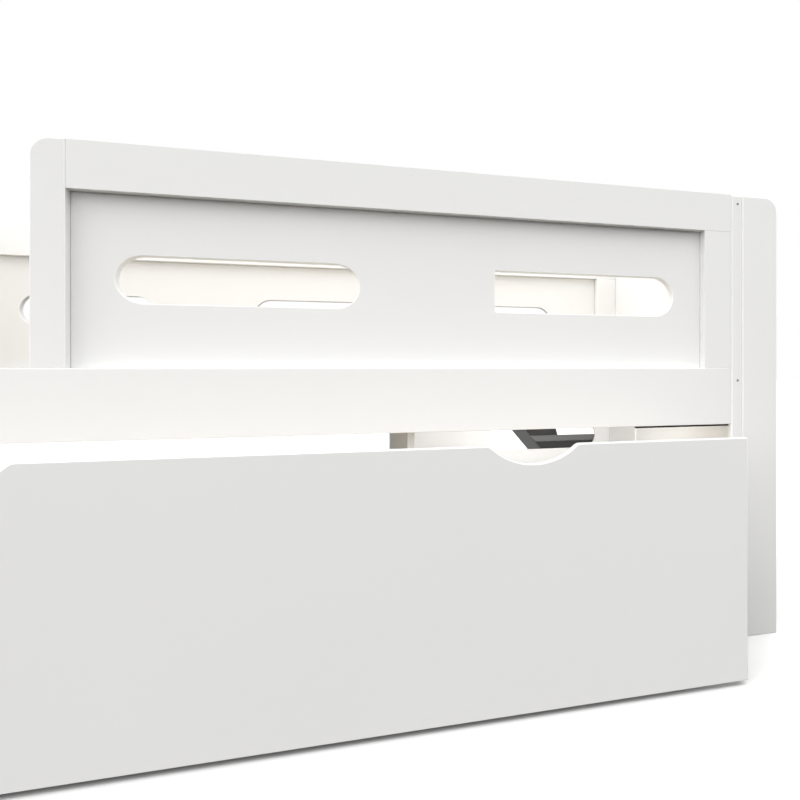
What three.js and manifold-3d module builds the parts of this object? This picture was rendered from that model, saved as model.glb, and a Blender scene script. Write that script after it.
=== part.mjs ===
// Child's trundle bed: a frame with two ends, guard rails and a slatted deck, and a trundle on castors.
// Millimetres, +X along the bed, +Y to the rear, +Z up, standing on z = 0.
import * as THREE from "three";
import { mergeVertices } from "three/addons/utils/BufferGeometryUtils.js";
import Module from "manifold-3d";

const wasm = await Module();
wasm.setup();

// Spaces the bed is built around
const mattressLength = 1600;
const mattressWidth = 800;
const mattressPlay = 10; // free space beside the mattress, in all across and at each end along
const joint = 0.3; // gap left between boards that meet

// Heights
const railBottom = 419; // underside of the side rails
const railHeight = 109;
const guardHeight = 338.5; // from the side rail's top to the top of the bed

// Board sections
const postSize = 76;
const cornerRadius = 26; // rounded top outer corner of posts and guard
const frameDepth = 49; // front to back thickness of rails and guards
const panelThickness = 24.5;
const stripWidth = 24;
const stripDepth = 15.7;
const guardPostWidth = 43.7;
const guardStileWidth = 56;
const topRailHeight = 72.5;
const backTopRailHeight = 79;
const endBottomRailHeight = 90;
const endFloorGap = 60; // floor to the ends' bottom rail

// Guards
const entryGap = 449; // way in beside the front guard
const slotHeight = 74;
const slotCentreHeight = 136.5; // above the side rail's top
const frontSlotMargin = 56.5; // from the panel's end to the slot
const frontSlotSpacing = 216; // between the slots
const squareEndInset = 8.4; // the right slot's square end, inside of where a round one would reach
const squareEndRadius = 4;
const backSlotMargin = 131.5;
const backSlotSpacing = 218.7;

// Deck
const ledgerPastPost = 3; // so that the ledger meets both the post and the end's panel
const ledgerHeight = 25;
const ledgerRise = 11; // ledger's underside above the rail's
const slatCount = 10;
const slatWidth = 90;
const slatThickness = 18;
const slatEndGap = 20; // from the bed end to the first slat
const slatPlay = 3; // from a slat's tip to the rail

// Steel brackets behind the front rail's ends
const bracketLength = 205;
const bracketReturn = 70;
const bracketThickness = 3;
const bracketDrop = 7; // below the rail

// Closed corner under the right end
const compartmentLength = 622;
const thinPanel = 12;
const compartmentClearance = 15; // above the trundle's sides
const rearPanelDrop = 28; // its top edge below the rail's
const holeLength = 309;
const holeEndMargin = 47;
const holeCentreHeight = 331.5;
const cornerBoardWidth = 248;
const cornerBoardThickness = 4.3;
const cornerBoardBottom = 100;

// Steel brace behind the rear panel, measured from the right post's inner face and the hole's centre
const braceSheet = 3;
const braceFlat = 5;
const braceBarHeight = 17;
const braceBarDrop = 8; // bar's middle below the hole's centre
const braceStrutWidth = 29.5;
const braceStrutLength = 190;
const braceStrutLean = 39; // degrees from upright
const braceStrutFromPost = 256; // strut's middle at the height of the hole's centre
const bracePlateLength = 262;
const braceSkirtHeight = 60; // plate below the bar
const braceEarHeight = 40; // plate above the bar
const braceEarLength = 96;
const braceEarSlant = 10;

// Trundle
const trundleOut = 224.5; // how far it stands out at rest
const trundleTopGap = 7.3;
const trundleFloorGap = 8;
const trundleEndGap = 73.5; // from the cover strip to the trundle's front board
const trundleFrontThickness = 20;
const trundleFrontOverhang = 12.5; // front board past the side boards
const trundleRearGap = 135; // from the closed trundle's back to the bed's back
const trundleBoard = 18;
const trundleSideHeight = 170;
const trundleBaseThickness = 12;
const scoopFromEnd = 356.5;
const scoopWidth = 146;
const scoopDepth = 29;
const scoopShoulder = 14; // radius that eases the scoop into the top edge

// Castors
const wheelRadius = 25;
const wheelWidth = 20;
const wheelRim = 3; // rounding of the tread's edges
const wheelBore = 4.3;
const axleRadius = 4;
const axleHeadRadius = 6.5;
const axleHeadThickness = 2;
const castorPlateThickness = 3;
const castorPlateLength = 70;
const castorPlateWidth = 46;
const castorHeadroom = 8.7; // from the wheel to the plate
const cheekThickness = 2.5;
const cheekPlay = 1; // each side of the wheel
const cheekEndRadius = 11;
const cheekTopWidth = 44;
const castorInsetX = 90; // castor's centre from the trundle's side
const castorInsetY = 90; // and from its front and back

// Sizes that follow
const innerX = mattressLength / 2 + mattressPlay;
const outerX = innerX + postSize;
const stripX = innerX - stripWidth; // inner edge of the cover strips
const rearInnerY = frameDepth + mattressWidth + mattressPlay;
const bedDepth = rearInnerY + postSize;
const rearFrameY = rearInnerY + frameDepth;
const railTop = railBottom + railHeight;
const bedHeight = railTop + guardHeight;
const slotZ = railTop + slotCentreHeight;
const rearPanelTop = railTop - rearPanelDrop;
const ledgerDepth = postSize - frameDepth + ledgerPastPost;
const ledgerBottom = railBottom + ledgerRise;
const ledgerTop = ledgerBottom + ledgerHeight;
const guardStart = -stripX + entryGap;
const guardPanelStart = guardStart + guardPostWidth;
const guardPanelEnd = stripX - guardStileWidth;
const guardPanelY = frameDepth - panelThickness;
const backPanelEnd = innerX - guardStileWidth;
const dividerX = innerX - compartmentLength;
const trundleX = stripX - trundleEndGap;
const trundleSideX = trundleX - trundleFrontOverhang;
const trundleTop = railBottom - trundleTopGap;
const trundleDepth = bedDepth - trundleRearGap;
const castorHeight = 2 * wheelRadius + castorHeadroom + castorPlateThickness;
const trundleBoxBottom = castorHeight + joint;
const trundleBoxTop = trundleBoxBottom + trundleSideHeight;
const compartmentBottom = trundleBoxTop + compartmentClearance;

// Colours
const white = { color: 0xf0f0ee, roughness: 0.35, metalness: 0 };
const pine = { color: 0xd9b98a, roughness: 0.65, metalness: 0 };
const ply = { color: 0xcfae7c, roughness: 0.7, metalness: 0 };
const darkSteel = { color: 0x3b3d40, roughness: 0.45, metalness: 0.6 };
const zinc = { color: 0xb4b7ba, roughness: 0.35, metalness: 0.9 };
const wheelGrey = { color: 0x4a4c4f, roughness: 0.6, metalness: 0 };

const bed = new THREE.Group();
const trundle = new THREE.Group();
trundle.position.y = -trundleOut;
bed.add(trundle);
bed.position.y = (trundleOut - bedDepth) / 2;

function addPiece(group, name, geometry, finish) {
  const mesh = new THREE.Mesh(geometry, new THREE.MeshStandardMaterial(finish));
  mesh.name = name;
  group.add(mesh);
}

function block(x0, x1, y0, y1, z0, z1) {
  const geometry = new THREE.BoxGeometry(x1 - x0, y1 - y0, z1 - z0);
  return geometry.translate((x0 + x1) / 2, (y0 + y1) / 2, (z0 + z1) / 2);
}

// A flat shape drawn in two of the bed's axes and thickened along the third
const axis = { x: [1, 0, 0], y: [0, 1, 0], z: [0, 0, 1], minusY: [0, -1, 0] };
const planes = {
  xy: [axis.x, axis.y, axis.z],
  xz: [axis.x, axis.z, axis.minusY],
  yz: [axis.y, axis.z, axis.x],
};

function board(shape, plane, from, to) {
  const options = { depth: to - from, bevelEnabled: false, curveSegments: 12 };
  const geometry = new THREE.ExtrudeGeometry(shape, options);
  const [u, v, w] = planes[plane].map((direction) => new THREE.Vector3(...direction));
  geometry.applyMatrix4(new THREE.Matrix4().makeBasis(u, v, w));
  const start = plane === "xz" ? -to : from;
  return geometry.translate(...w.multiplyScalar(start).toArray());
}

function polygon(points) {
  return new THREE.Shape(points.map(([u, v]) => new THREE.Vector2(u, v)));
}

// Upright rectangle whose top corner on one side is rounded: side is -1 for left, 1 for right
function roundedUpright(x0, x1, z0, z1, side) {
  const [inside, outside] = side > 0 ? [x0, x1] : [x1, x0];
  const radius = Math.min(cornerRadius, x1 - x0);
  const shape = new THREE.Shape();
  shape.moveTo(inside, z0);
  shape.lineTo(outside, z0);
  shape.lineTo(outside, z1 - radius);
  const centre = outside - side * radius;
  if (side > 0) shape.absarc(centre, z1 - radius, radius, 0, Math.PI / 2, false);
  else shape.absarc(centre, z1 - radius, radius, Math.PI, Math.PI / 2, true);
  shape.lineTo(inside, z1);
  shape.closePath();
  return shape;
}

// Slot between x0 and x1, centred on height z: round at both ends unless its start has a smaller radius
function slot(x0, x1, z, height, startRadius = height / 2) {
  const r = height / 2;
  const startX = x0 + startRadius;
  const path = new THREE.Path();
  path.moveTo(startX, z - r);
  path.lineTo(x1 - r, z - r);
  path.absarc(x1 - r, z, r, -Math.PI / 2, Math.PI / 2, false);
  path.lineTo(startX, z + r);
  if (startRadius < r) {
    path.absarc(startX, z + r - startRadius, startRadius, Math.PI / 2, Math.PI, false);
    path.absarc(startX, z - r + startRadius, startRadius, Math.PI, (3 * Math.PI) / 2, false);
  } else {
    path.absarc(startX, z, r, Math.PI / 2, (3 * Math.PI) / 2, false);
  }
  return path;
}

// Ends of equal slots that fill a panel's width but for its margins and the spaces between them
function slotSpans(x0, x1, count, margin, spacing) {
  const length = (x1 - x0 - 2 * margin - (count - 1) * spacing) / count;
  const starts = Array.from({ length: count }, (_, i) => x0 + margin + i * (length + spacing));
  return starts.map((start) => [start, start + length]);
}

function slottedPanel(x0, x1, z0, z1, slots) {
  const shape = polygon([[x0, z0], [x1, z0], [x1, z1], [x0, z1]]);
  shape.holes = slots;
  return shape;
}

// Rail or stile with a step at one or both ends that passes behind the cover strip
function steppedBoard(x0, x1, z0, z1, stepLeft, stepRight) {
  const stepY = stripDepth + joint;
  const left = stepLeft ? [[x0, frameDepth], [x0, stepY], [-stripX + joint, stepY], [-stripX + joint, 0]]
    : [[x0, frameDepth], [x0, 0]];
  const right = stepRight ? [[stripX - joint, 0], [stripX - joint, stepY], [x1, stepY], [x1, frameDepth]]
    : [[x1, 0], [x1, frameDepth]];
  return board(polygon([...left, ...right]), "xy", z0, z1);
}

function solid(geometry) {
  const bare = geometry.clone().deleteAttribute("normal").deleteAttribute("uv");
  const merged = mergeVertices(bare, 1e-4);
  const triVerts = new Uint32Array(merged.index.array);
  const vertProperties = merged.attributes.position.array;
  return new wasm.Manifold(new wasm.Mesh({ numProp: 3, vertProperties, triVerts }));
}

function geometryOf(manifold) {
  const mesh = manifold.getMesh();
  const geometry = new THREE.BufferGeometry();
  geometry.setAttribute("position", new THREE.BufferAttribute(mesh.vertProperties, 3));
  geometry.setIndex(new THREE.BufferAttribute(mesh.triVerts, 1));
  geometry.computeVertexNormals();
  return geometry;
}

const ends = [["left", -1], ["right", 1]];

// Span of a piece whose inner and outer faces lie at these distances from the bed's middle
function span(side, inner, outer) {
  return side > 0 ? [inner, outer] : [-outer, -inner];
}

function addEnds() {
  const frontY = postSize + joint;
  const rearY = rearInnerY - joint;
  const bottomRailTop = endFloorGap + endBottomRailHeight;
  const topRailBottom = bedHeight - topRailHeight;
  for (const [name, side] of ends) {
    const [x0, x1] = span(side, innerX, outerX);
    const [panelX0, panelX1] = span(side, innerX, innerX + panelThickness);
    const upright = roundedUpright(x0, x1, 0, bedHeight, side);
    const topRail = roundedUpright(x0, x1, topRailBottom, bedHeight, side);
    addPiece(bed, `post_front_${name}`, board(upright, "xz", 0, postSize), white);
    addPiece(bed, `post_rear_${name}`, board(upright, "xz", rearInnerY, bedDepth), white);
    addPiece(bed, `end_top_rail_${name}`, board(topRail, "xz", frontY, rearY), white);
    const bottomRail = block(x0, x1, frontY, rearY, endFloorGap, bottomRailTop);
    addPiece(bed, `end_bottom_rail_${name}`, bottomRail, white);
    const panel = block(panelX0, panelX1, frontY, rearY, bottomRailTop + joint, topRailBottom - joint);
    addPiece(bed, `end_panel_${name}`, panel, white);
    const [stripX0, stripX1] = span(side, stripX, innerX - joint);
    const strip = block(stripX0, stripX1, 0, stripDepth, 0, bedHeight);
    addPiece(bed, `cover_strip_${name}`, strip, white);
  }
}

function addSideRails() {
  const end = innerX - joint;
  const front = steppedBoard(-end, end, railBottom, railTop, true, true);
  const rear = block(-end, end, rearInnerY, rearFrameY, railBottom, railTop);
  addPiece(bed, "side_rail_front", front, white);
  addPiece(bed, "side_rail_rear", rear, white);
}

function addFrontGuard() {
  const foot = railTop + joint;
  const railUnderside = bedHeight - topRailHeight;
  const end = innerX - joint;
  const post = roundedUpright(guardStart, guardPanelStart - joint, foot, bedHeight, -1);
  addPiece(bed, "guard_post_left", board(post, "xz", 0, frameDepth), white);
  const topRail = steppedBoard(guardPanelStart, end, railUnderside, bedHeight, false, true);
  addPiece(bed, "guard_top_rail", topRail, white);
  const stile = steppedBoard(guardPanelEnd, end, foot, railUnderside - joint, false, true);
  addPiece(bed, "guard_stile_right", stile, white);
  const x0 = guardPanelStart;
  const x1 = guardPanelEnd - joint;
  const [left, right] = slotSpans(x0, x1, 2, frontSlotMargin, frontSlotSpacing);
  const slots = [
    slot(...left, slotZ, slotHeight),
    slot(right[0] + squareEndInset, right[1], slotZ, slotHeight, squareEndRadius),
  ];
  const panel = slottedPanel(x0, x1, foot, railUnderside - joint, slots);
  addPiece(bed, "guard_panel", board(panel, "xz", guardPanelY, frameDepth), white);
}

function addBackGuard() {
  const foot = railTop + joint;
  const railUnderside = bedHeight - backTopRailHeight;
  const end = innerX - joint;
  const topRail = block(-end, end, rearInnerY, rearFrameY, railUnderside, bedHeight);
  addPiece(bed, "back_top_rail", topRail, white);
  for (const [name, side] of ends) {
    const [x0, x1] = span(side, backPanelEnd, end);
    const stile = block(x0, x1, rearInnerY, rearFrameY, foot, railUnderside - joint);
    addPiece(bed, `back_stile_${name}`, stile, white);
  }
  const half = backPanelEnd - joint;
  const spans = slotSpans(-half, half, 3, backSlotMargin, backSlotSpacing);
  const slots = spans.map(([start, end]) => slot(start, end, slotZ, slotHeight));
  const panel = slottedPanel(-half, half, foot, railUnderside - joint, slots);
  addPiece(bed, "back_panel", board(panel, "xz", rearFrameY - panelThickness, rearFrameY), white);
}

function addDeck() {
  const end = innerX - joint;
  const frontY = frameDepth + joint;
  const rearY = rearInnerY - joint;
  const front = block(-end, end, frontY, frontY + ledgerDepth, ledgerBottom, ledgerTop);
  const rear = block(-end, end, rearY - ledgerDepth, rearY, ledgerBottom, ledgerTop);
  addPiece(bed, "slat_ledger_front", front, pine);
  addPiece(bed, "slat_ledger_rear", rear, pine);
  const firstX = -innerX + slatEndGap;
  const pitch = (2 * innerX - 2 * slatEndGap - slatWidth) / (slatCount - 1);
  const z0 = ledgerTop + joint;
  const slatY0 = frameDepth + slatPlay;
  const slatY1 = rearInnerY - slatPlay;
  for (let i = 0; i < slatCount; i += 1) {
    const x0 = firstX + i * pitch;
    const slat = block(x0, x0 + slatWidth, slatY0, slatY1, z0, z0 + slatThickness);
    addPiece(bed, `slat_${String(i + 1).padStart(2, "0")}`, slat, pine);
  }
}

function addCornerBrackets() {
  const z0 = railBottom - bracketDrop;
  const z1 = ledgerBottom - joint;
  const y0 = frameDepth + joint;
  const end = innerX - joint;
  for (const [name, side] of ends) {
    const outline = [
      [end, y0],
      [end, y0 + bracketReturn],
      [end - bracketThickness, y0 + bracketReturn],
      [end - bracketThickness, y0 + bracketThickness],
      [end - bracketLength, y0 + bracketThickness],
      [end - bracketLength, y0],
    ].map(([x, y]) => [side * x, y]);
    const bracket = board(polygon(outline), "xy", z0, z1);
    addPiece(bed, `corner_bracket_${name}`, bracket, darkSteel);
  }
}

function addCompartment() {
  const panelY = rearFrameY + joint;
  const frontY = frameDepth + joint;
  const dividerTop = ledgerBottom - joint;
  const divider = polygon([
    [frontY, compartmentBottom],
    [rearFrameY, compartmentBottom],
    [rearFrameY, railBottom - joint],
    [rearInnerY - joint, railBottom - joint],
    [rearInnerY - joint, dividerTop],
    [frontY, dividerTop],
  ]);
  addPiece(bed, "divider_panel", board(divider, "yz", dividerX, dividerX + thinPanel), white);
  const holeEnd = innerX - holeEndMargin;
  const hole = slot(holeEnd - holeLength, holeEnd, holeCentreHeight, slotHeight);
  const panel = slottedPanel(dividerX, innerX - joint, compartmentBottom, rearPanelTop, [hole]);
  addPiece(bed, "rear_panel", board(panel, "xz", panelY, panelY + thinPanel), white);
  const cornerBoardX = innerX - joint;
  const cornerBoard = block(cornerBoardX - cornerBoardThickness, cornerBoardX,
    rearFrameY - cornerBoardWidth, rearFrameY, cornerBoardBottom, railBottom - joint);
  addPiece(bed, "corner_board", cornerBoard, white);
}

// Edge of the slanted strut that faces the post, at height z
function strutEdge(z) {
  const lean = THREE.MathUtils.degToRad(braceStrutLean);
  const middle = innerX - braceStrutFromPost + (holeCentreHeight - z) * Math.tan(lean);
  return middle + braceStrutWidth / 2 / Math.cos(lean);
}

function addRearBrace() {
  const flatY = rearFrameY + joint + thinPanel + joint;
  const sheetY = flatY + braceFlat + joint;
  const end = innerX - joint;
  const plateStart = end - bracePlateLength;
  const barTop = holeCentreHeight - braceBarDrop + braceBarHeight / 2;
  const barBottom = barTop - braceBarHeight;
  const bar = polygon([
    [strutEdge(barBottom) + joint, barBottom],
    [end, barBottom],
    [end, barTop],
    [strutEdge(barTop) + joint, barTop],
  ]);
  addPiece(bed, "brace_bar", board(bar, "xz", flatY, flatY + braceFlat), darkSteel);
  const strut = new THREE.BoxGeometry(braceStrutWidth, braceFlat, braceStrutLength);
  strut.rotateY(-THREE.MathUtils.degToRad(braceStrutLean));
  strut.translate(innerX - braceStrutFromPost, flatY + braceFlat / 2, holeCentreHeight);
  addPiece(bed, "brace_strut", strut, darkSteel);
  const plate = polygon([
    [plateStart, barTop + braceEarHeight],
    [plateStart + braceSkirtHeight, barBottom - braceSkirtHeight],
    [end, barBottom - braceSkirtHeight],
    [end, barTop],
    [plateStart + braceEarLength + braceEarSlant, barTop],
    [plateStart + braceEarLength, barTop + braceEarHeight],
  ]);
  addPiece(bed, "brace_plate", board(plate, "xz", sheetY, sheetY + braceSheet), darkSteel);
}

// Draws one finger scoop into the top edge of a board whose outline runs from right to left:
// a wide arc, eased into the edge by a small round shoulder on each side
function drawScoop(shape, x, top) {
  const half = scoopWidth / 2;
  const reach = (half ** 2 + scoopDepth ** 2) / (2 * scoopDepth); // both radii together
  const radius = reach - scoopShoulder;
  const rise = radius - scoopDepth; // arc's centre above the edge
  const angle = Math.atan2(rise + scoopShoulder, half);
  const shoulderZ = top - scoopShoulder;
  shape.lineTo(x + half, top);
  shape.absarc(x + half, shoulderZ, scoopShoulder, Math.PI / 2, Math.PI - angle, false);
  shape.absarc(x, top + rise, radius, -angle, angle - Math.PI, true);
  shape.absarc(x - half, shoulderZ, scoopShoulder, angle, Math.PI / 2, false);
}

function addTrundleBoards() {
  const scoopX = trundleX - scoopFromEnd;
  const front = new THREE.Shape();
  front.moveTo(-trundleX, trundleFloorGap);
  front.lineTo(trundleX, trundleFloorGap);
  front.lineTo(trundleX, trundleTop);
  drawScoop(front, scoopX, trundleTop);
  drawScoop(front, -scoopX, trundleTop);
  front.lineTo(-trundleX, trundleTop);
  front.closePath();
  addPiece(trundle, "trundle_front", board(front, "xz", 0, trundleFrontThickness), white);

  const frontY = trundleFrontThickness + joint;
  const backY = trundleDepth - trundleBoard;
  const z0 = trundleBoxBottom;
  const sideInner = trundleSideX - trundleBoard;
  const baseX = sideInner - joint;
  const base = block(-baseX, baseX, frontY, backY - joint, z0, z0 + trundleBaseThickness);
  addPiece(trundle, "trundle_base", base, ply);
  for (const [name, side] of ends) {
    const [x0, x1] = span(side, sideInner, trundleSideX);
    const sideBoard = block(x0, x1, frontY, backY - joint, z0, trundleBoxTop);
    addPiece(trundle, `trundle_side_${name}`, sideBoard, white);
  }
  const back = block(-trundleSideX, trundleSideX, backY, trundleDepth, z0, trundleBoxTop);
  addPiece(trundle, "trundle_back", back, white);
}

// Turns a profile of [radius, place along the axle] about the castor's axle
function turned(profile, sides) {
  const points = profile.map(([radius, along]) => new THREE.Vector2(radius, along));
  const geometry = new THREE.LatheGeometry(points, sides);
  return geometry.rotateZ(-Math.PI / 2).translate(0, 0, wheelRadius);
}

function wheelGeometry() {
  const half = wheelWidth / 2;
  const steps = 4;
  const rim = [];
  for (let i = 0; i <= steps; i += 1) {
    const a = (Math.PI / 2) * (i / steps);
    rim.push([wheelRadius - wheelRim + wheelRim * Math.sin(a), wheelRim * (1 - Math.cos(a)) - half]);
  }
  const otherRim = rim.map(([radius, along]) => [radius, -along]).reverse();
  return turned([[wheelBore, -half], ...rim, ...otherRim, [wheelBore, half], [wheelBore, -half]], 32);
}

const cheekInner = wheelWidth / 2 + cheekPlay;
const cheekOuter = cheekInner + cheekThickness;

function axleGeometry() {
  const head = cheekOuter + joint;
  const end = head + axleHeadThickness;
  const half = [[axleHeadRadius, end], [axleHeadRadius, head], [axleRadius, head]];
  const mirrored = half.map(([radius, along]) => [radius, -along]);
  return turned([[0, -end], ...mirrored, ...half.reverse(), [0, end]], 20);
}

function castorBracketGeometry() {
  const top = castorHeight;
  const halfX = castorPlateWidth / 2;
  const halfY = castorPlateLength / 2;
  let bracket = solid(block(-halfX, halfX, -halfY, halfY, top - castorPlateThickness, top));
  for (const x of [-cheekOuter, cheekInner]) {
    const cheek = new THREE.Shape();
    const shoulder = top - castorPlateThickness / 2;
    cheek.moveTo(-cheekTopWidth / 2, shoulder);
    cheek.lineTo(-cheekEndRadius, wheelRadius);
    cheek.absarc(0, wheelRadius, cheekEndRadius, Math.PI, 2 * Math.PI, false);
    cheek.lineTo(cheekTopWidth / 2, shoulder);
    cheek.closePath();
    cheek.holes = [new THREE.Path().absarc(0, wheelRadius, wheelBore, 0, 2 * Math.PI, false)];
    bracket = bracket.add(solid(board(cheek, "yz", x, x + cheekThickness)));
  }
  return geometryOf(bracket);
}

function addCastors() {
  const x = trundleSideX - castorInsetX;
  const rows = [["front", castorInsetY], ["rear", trundleDepth - castorInsetY]];
  for (const [row, y] of rows) {
    for (const [name, side] of ends) {
      const castor = new THREE.Group();
      castor.position.set(side * x, y, 0);
      trundle.add(castor);
      addPiece(castor, `castor_bracket_${row}_${name}`, castorBracketGeometry(), zinc);
      addPiece(castor, `castor_axle_${row}_${name}`, axleGeometry(), zinc);
      addPiece(castor, `wheel_${row}_${name}`, wheelGeometry(), wheelGrey);
    }
  }
}

addEnds();
addSideRails();
addFrontGuard();
addBackGuard();
addDeck();
addCornerBrackets();
addCompartment();
addRearBrace();
addTrundleBoards();
addCastors();

export default bed;
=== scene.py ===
# A child's trundle bed in satin white lacquer, with a slatted pine deck and a trundle on castors.
import math
from random import Random

import bmesh
import bpy
from mathutils import Matrix, Vector


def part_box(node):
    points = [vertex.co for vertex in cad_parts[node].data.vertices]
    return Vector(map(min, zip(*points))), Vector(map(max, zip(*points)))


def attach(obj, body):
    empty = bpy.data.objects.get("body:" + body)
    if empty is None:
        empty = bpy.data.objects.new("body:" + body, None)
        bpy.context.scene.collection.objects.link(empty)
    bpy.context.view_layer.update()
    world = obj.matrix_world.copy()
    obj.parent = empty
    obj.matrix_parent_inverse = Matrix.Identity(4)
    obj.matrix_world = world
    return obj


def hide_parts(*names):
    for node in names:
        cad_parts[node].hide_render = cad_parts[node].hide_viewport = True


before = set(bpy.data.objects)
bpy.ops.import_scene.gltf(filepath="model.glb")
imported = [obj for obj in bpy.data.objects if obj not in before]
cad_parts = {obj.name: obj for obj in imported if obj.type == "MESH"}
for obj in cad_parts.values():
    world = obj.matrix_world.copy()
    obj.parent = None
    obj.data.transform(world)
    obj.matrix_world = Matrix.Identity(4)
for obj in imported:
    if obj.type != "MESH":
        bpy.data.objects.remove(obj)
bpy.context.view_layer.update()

mm = 0.001
scene = bpy.context.scene


def linkObject(name, data):
    thing = bpy.data.objects.new(name, data)
    scene.collection.objects.link(thing)
    return thing


def meshOf(bm, name):
    mesh = bpy.data.meshes.new(name)
    bm.to_mesh(mesh)
    bm.free()
    return mesh


def evaluatedMesh(thing):
    # the object's mesh with its modifiers applied
    graph = bpy.context.evaluated_depsgraph_get()
    graph.update()
    return bpy.data.meshes.new_from_object(thing.evaluated_get(graph), preserve_all_data_layers=True,
                                           depsgraph=graph)


def applyModifiers(thing):
    mesh = evaluatedMesh(thing)
    thing.modifiers.clear()
    thing.data = mesh
    return thing


def finishShading(thing, sharpAngle=42):
    # flat faces stay flat and the rounded edges between them stay smooth
    thing.data.shade_smooth()
    thing.data.set_sharp_from_angle(angle=math.radians(sharpAngle))
    weighted = thing.modifiers.new("flatFaces", "WEIGHTED_NORMAL")
    weighted.keep_sharp = True
    return applyModifiers(thing)


def putOn(thing, body, slot, material, *nodes):
    # material and body of a finished piece, and the CAD nodes it stands for; the slot is not used
    thing.data.materials.clear()
    thing.data.materials.append(material)
    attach(thing, body)
    if nodes:
        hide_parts(*nodes)
    return thing


def join(tree, source, target):
    tree.links.new(source, target)


def give(tree, target, value):
    # a socket is joined to the target; anything else becomes the target's own value
    if isinstance(value, bpy.types.NodeSocket):
        join(tree, value, target)
    else:
        target.default_value = value


def addNode(tree, kind, **settings):
    # a setting named like an input goes into it, with _ for each space; others are the node's own
    node = tree.nodes.new(kind)
    for key, value in settings.items():
        label = key.replace("_", " ")
        if label in node.inputs:
            give(tree, node.inputs[label], value)
        else:
            setattr(node, key, value)
    return node


def mathNode(tree, operation, first, second=None, third=None, clamp=False):
    node = addNode(tree, "ShaderNodeMath", operation=operation, use_clamp=clamp)
    for socket, value in zip(node.inputs, (first, second, third)):
        if value is not None:
            give(tree, socket, value)
    return node.outputs[0]


def mixColour(tree, factor, first, second, blend="MIX"):
    node = addNode(tree, "ShaderNodeMix", data_type="RGBA", blend_type=blend)
    for index, value in ((0, factor), (6, first), (7, second)):
        give(tree, node.inputs[index], value)
    return node.outputs[2]


def newGroup(name, inputs, outputs):
    group = bpy.data.node_groups.new(name, "ShaderNodeTree")
    for label, kind, value in inputs:
        socket = group.interface.new_socket(label, in_out="INPUT", socket_type=kind)
        if value is not None:
            socket.default_value = value
    for label, kind in outputs:
        group.interface.new_socket(label, in_out="OUTPUT", socket_type=kind)
    return group, addNode(group, "NodeGroupInput"), addNode(group, "NodeGroupOutput")


def makeOrangePeel():
    # the soft ripple a sprayed lacquer keeps, with a little dust nib here and there
    group, given, out = newGroup("orangePeel", [
        ("Vector", "NodeSocketVector", None),
        ("Ripple Scale", "NodeSocketFloat", 260.0),
        ("Nib Scale", "NodeSocketFloat", 900.0),
    ], [("Height", "NodeSocketFloat"), ("Cloud", "NodeSocketFloat")])
    place = given.outputs["Vector"]
    ripple = addNode(group, "ShaderNodeTexNoise", Vector=place, Scale=given.outputs["Ripple Scale"],
                     Detail=2.0, Roughness=0.45)
    nib = addNode(group, "ShaderNodeTexNoise", Vector=place, Scale=given.outputs["Nib Scale"],
                  Detail=1.0, Roughness=0.6)
    cloud = addNode(group, "ShaderNodeTexNoise", Vector=place, Scale=3.2, Detail=3.0, Roughness=0.55)
    height = mathNode(group, "MULTIPLY_ADD", nib.outputs["Fac"], 0.25, ripple.outputs["Fac"])
    join(group, height, out.inputs["Height"])
    join(group, cloud.outputs["Fac"], out.inputs["Cloud"])
    return group


def makeEdgeWear():
    # broken mask along the rounded edges, from the edge attribute that the mesh code writes
    group, given, out = newGroup("edgeWear", [
        ("Vector", "NodeSocketVector", None),
        ("Edge", "NodeSocketFloat", 0.0),
        ("Amount", "NodeSocketFloat", 0.5),
        ("Scale", "NodeSocketFloat", 38.0),
    ], [("Mask", "NodeSocketFloat")])
    noise = addNode(group, "ShaderNodeTexNoise", Vector=given.outputs["Vector"],
                    Scale=given.outputs["Scale"], Detail=5.0, Roughness=0.62)
    threshold = mathNode(group, "SUBTRACT", 0.78, mathNode(group, "MULTIPLY", given.outputs["Amount"], 0.4))
    broken = mathNode(group, "SUBTRACT", noise.outputs["Fac"], threshold)
    sharp = mathNode(group, "MULTIPLY", broken, 14.0, clamp=True)
    join(group, mathNode(group, "MULTIPLY", sharp, given.outputs["Edge"]), out.inputs["Mask"])
    return group


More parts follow.
